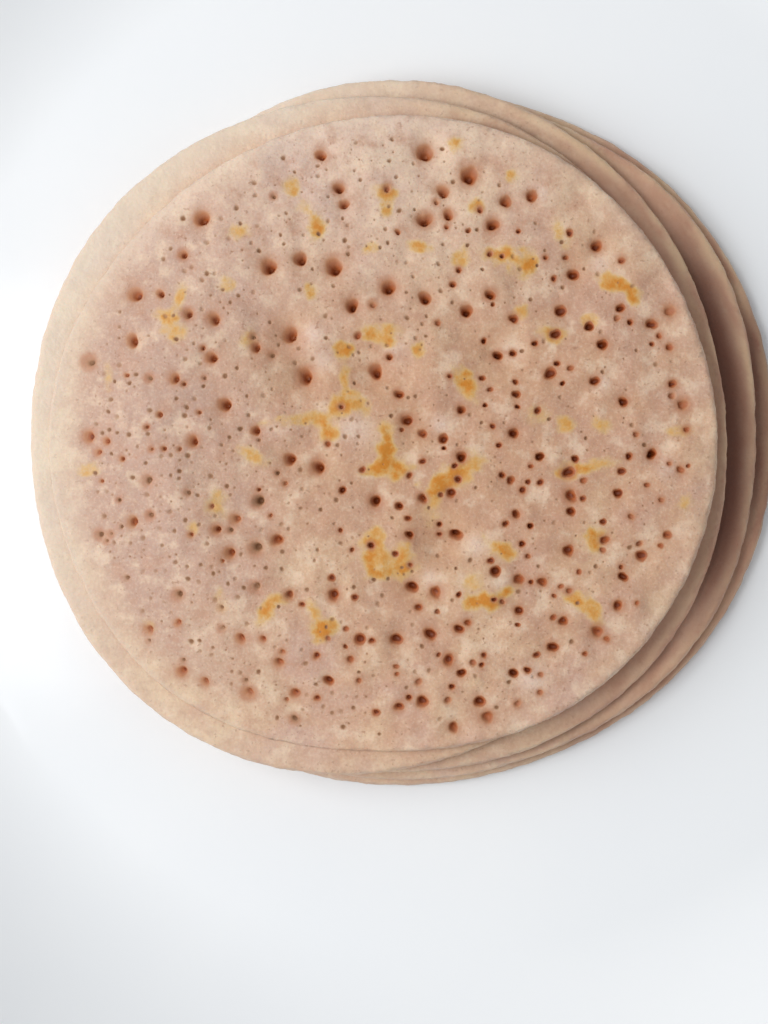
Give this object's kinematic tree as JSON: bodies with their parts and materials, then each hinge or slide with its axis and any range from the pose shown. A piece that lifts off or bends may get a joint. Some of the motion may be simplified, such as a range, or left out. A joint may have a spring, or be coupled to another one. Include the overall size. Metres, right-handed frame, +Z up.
{
  "type": "stack of buckwheat pancakes on a plate",
  "caption": "Stack of thin, soft buckwheat pancakes with bubble-pitted tops, lying unevenly one on another on a wide, rimless white plate.",
  "frame": {"origin": "centre of the plate's foot ring, on the surface that the plate stands on", "axes": "+Z up; +X towards the side where the lower pancakes step out furthest; +Y across, to the left when looking along +X"},
  "size_m": [0.3, 0.3, 0.026],
  "materials": {
    "plate_glaze": "white glossy glaze",
    "pancake_crumb": "matt, soft, speckled beige crumb"
  },
  "bodies": {
    "root": {"plate": "plate_glaze", "pancake_1": "pancake_crumb", "pancake_2": "pancake_crumb", "pancake_3": "pancake_crumb", "pancake_4": "pancake_crumb", "pancake_5": "pancake_crumb"}
  },
  "joints": []
}
